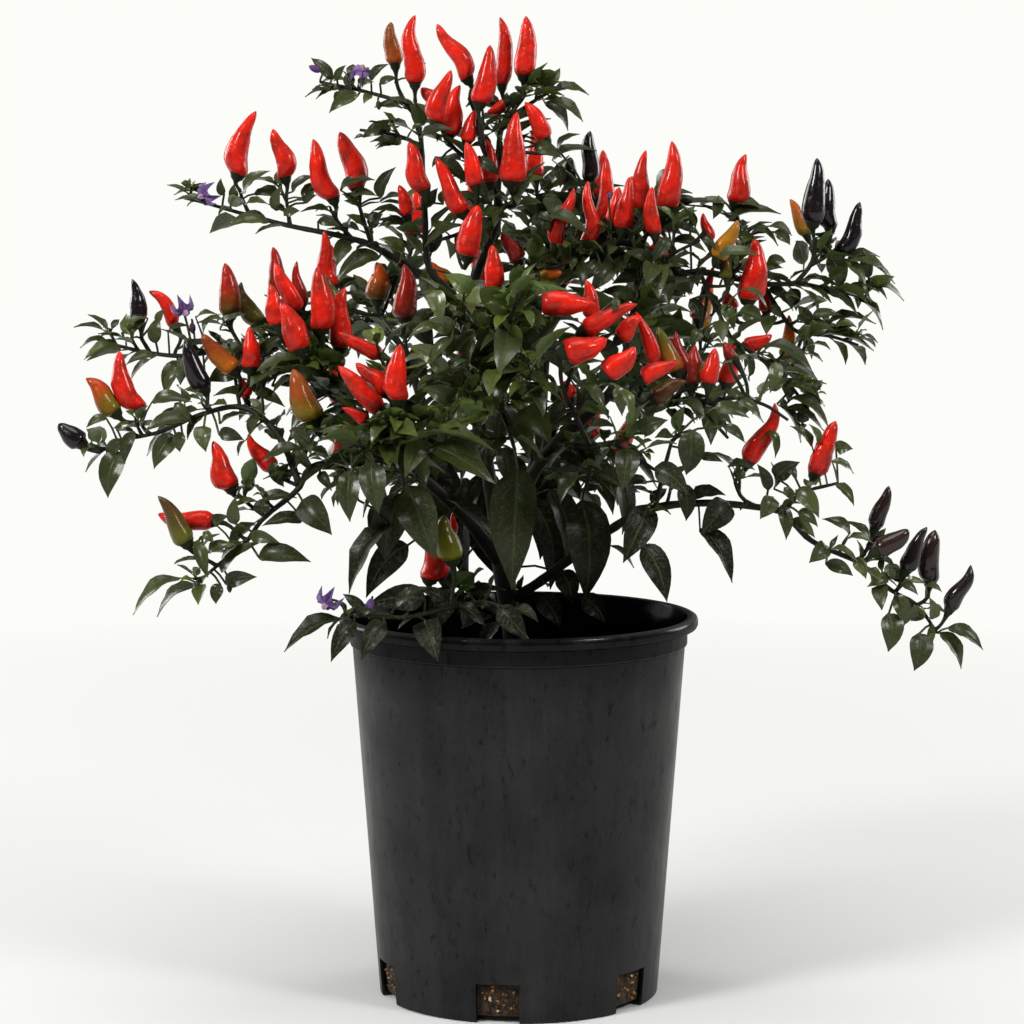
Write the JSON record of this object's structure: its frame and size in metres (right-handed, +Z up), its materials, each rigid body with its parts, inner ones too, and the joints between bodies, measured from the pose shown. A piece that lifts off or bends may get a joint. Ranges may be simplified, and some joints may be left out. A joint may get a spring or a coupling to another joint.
{
  "type": "potted ornamental pepper plant",
  "caption": "Bushy ornamental pepper plant with dark leaves, upright conical fruit in red, orange, olive and black, and purple star flowers, in a black nursery pot.",
  "frame": {"origin": "middle of the pot's flat underside", "axes": "+Z up along the pot's axis, -Y towards the side that the picture shows, +X to that side's right"},
  "size_m": [0.4294, 0.2448, 0.4621],
  "materials": {
    "pot": "matte black, slightly mottled",
    "potting_mix": "rough, dark brown bark and peat with pale grains",
    "stem": "dark purple-brown bark",
    "foliage": "satin, dark green",
    "red_fruit": "glossy",
    "darkred_fruit": "glossy",
    "orange_fruit": "glossy",
    "olive_fruit": "glossy",
    "black_fruit": "glossy",
    "petal": "soft violet"
  },
  "bodies": {
    "root": {"pepper_red_top_1": "red_fruit", "pepper_red_top_2": "red_fruit", "pepper_red_top_3": "red_fruit", "pepper_red_top_4": "red_fruit", "pepper_red_top_7": "red_fruit", "pepper_orange_top_left_1": "orange_fruit", "pepper_red_top_left_2": "red_fruit", "pepper_red_left_upper_1": "red_fruit", "pepper_red_left_upper_3": "red_fruit", "pepper_red_left_upper_4": "red_fruit", "pepper_red_left_inner_5": "red_fruit", "pepper_orange_left_inner_7": "orange_fruit", "pepper_black_left_middle_1": "black_fruit", "pepper_darkred_left_middle_3": "darkred_fruit", "pepper_black_left_arm_3": "black_fruit", "pepper_red_left_arm_4": "red_fruit", "pepper_orange_left_arm_5": "orange_fruit", "pepper_black_left_arm_6": "black_fruit", "pepper_red_left_lower_1": "red_fruit", "pepper_olive_left_lower_2": "olive_fruit", "pepper_red_front_left_3": "red_fruit", "pepper_red_front_center_2": "red_fruit", "pepper_red_front_right_2": "red_fruit", "pepper_red_crown_6": "red_fruit", "pepper_black_crown_8": "black_fruit", "pepper_red_right_upper_1": "red_fruit", "pepper_red_right_upper_2": "red_fruit", "pepper_black_right_upper_4": "black_fruit", "pepper_red_right_arm_1": "red_fruit", "pepper_red_right_arm_2": "red_fruit", "pepper_olive_rim_left_1": "olive_fruit", "pepper_red_rim_left_2": "red_fruit", "flower_1": "petal", "flower_2": "petal", "flower_3": "petal", "flower_4": "petal", "branch_top": "foliage", "branch_top_left": "foliage", "branch_left_upper": "foliage", "branch_left_inner": "foliage", "branch_left_middle": "foliage", "branch_left_lower": "foliage", "branch_left_arm": "foliage", "branch_front_left": "foliage", "branch_front_center": "foliage", "branch_front_right": "foliage", "branch_right_inner": "foliage", "branch_crown": "foliage", "branch_right_upper": "foliage", "branch_right_arm": "foliage", "branch_rim_left": "foliage", "branch_back_top": "foliage", "branch_back_right": "foliage", "branch_back_low": "foliage", "branch_back_left": "foliage", "branch_back_left_low": "foliage", "branch_back_center": "foliage", "main_stem": "stem", "soil": "potting_mix", "pot": "pot"}
  },
  "joints": []
}
